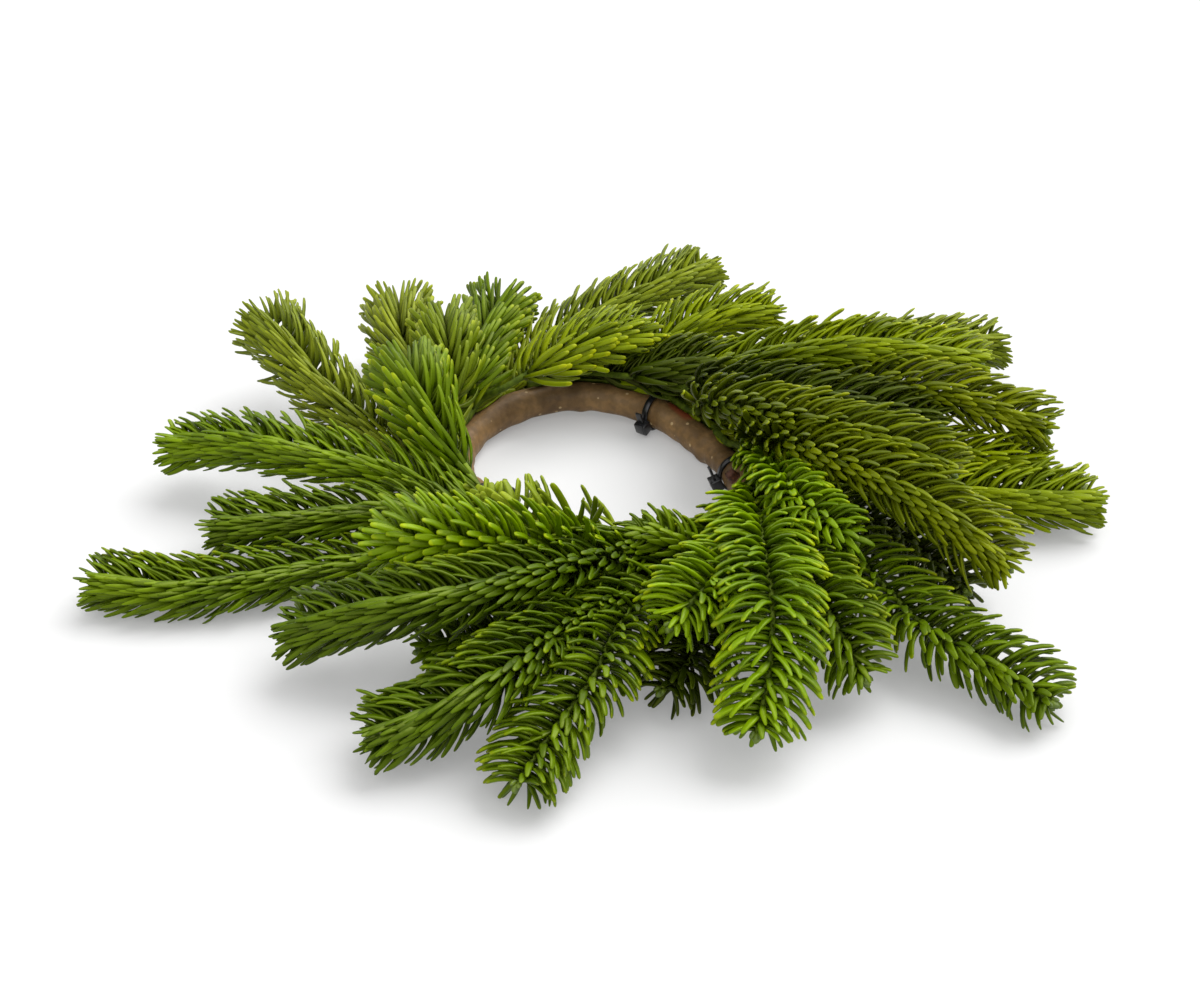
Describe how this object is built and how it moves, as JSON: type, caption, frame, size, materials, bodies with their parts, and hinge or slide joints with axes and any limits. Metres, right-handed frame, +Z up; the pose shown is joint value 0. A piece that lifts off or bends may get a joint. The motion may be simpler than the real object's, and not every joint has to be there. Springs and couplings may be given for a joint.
{
  "type": "evergreen wreath",
  "caption": "Fresh fir wreath lying flat: needled evergreen sprays swirl clockwise out of a bent branch ring, held to it by black nylon cable ties, with an open oval hole",
  "frame": {"origin": "middle of the wreath's outline seen from above, on the surface that it lies on", "axes": "+Z points up out of the surface, +X is the wreath's longest side and runs to the right in the view from the front, +Y runs to the back"},
  "size_m": [0.3986, 0.3871, 0.0725],
  "materials": {
    "bark": "smooth dull taupe bark with pale dots and small reddish scars",
    "black_nylon": "glossy black moulded nylon",
    "fir_green": "fresh mid-green fir needles, slightly waxy, lighter towards the tips",
    "fir_dark": "older dark bluish-green fir needles, slightly waxy",
    "fir_bright": "bright yellow-green fir needles, slightly waxy",
    "fir_olive": "olive-green fir needles with yellower tips, slightly waxy",
    "fir_pale": "pale bluish-green fir needles, slightly waxy"
  },
  "bodies": {
    "root": {"ring": "bark", "tie_1": "black_nylon", "tie_2": "black_nylon", "tie_3": "black_nylon", "tie_4": "black_nylon", "tie_5": "black_nylon", "spray_left_bright": "fir_green", "spray_back_left_far": "fir_pale", "spray_back_left_dark": "fir_pale", "spray_back_left_short": "fir_olive", "spray_back_left_fan": "fir_green", "spray_back_bright": "fir_bright", "spray_back_far_left": "fir_pale", "spray_back_far_right": "fir_bright", "spray_back_dark": "fir_dark", "spray_right_back_pale": "fir_pale", "spray_right_back_gold": "fir_bright", "spray_right_dark": "fir_dark", "spray_right_middle": "fir_bright", "spray_right_upper": "fir_olive", "spray_right_olive_upper": "fir_olive", "spray_right_far": "fir_bright", "spray_right_olive_lower": "fir_olive", "spray_front_right": "fir_green", "spray_right_low_dark": "fir_dark", "spray_right_curl": "fir_bright", "spray_front_right_far": "fir_green", "spray_front_centre": "fir_bright", "spray_front_small": "fir_green", "spray_front_low": "fir_dark", "spray_front_curl": "fir_bright", "spray_front_droop": "fir_green", "spray_front_left_long": "fir_green", "spray_front_left_big": "fir_green", "spray_front_left_lime": "fir_bright", "spray_front_left_low": "fir_green", "spray_front_inner": "fir_pale", "spray_left_middle": "fir_green", "spray_left_long": "fir_green", "spray_left_upper": "fir_green"}
  },
  "joints": []
}
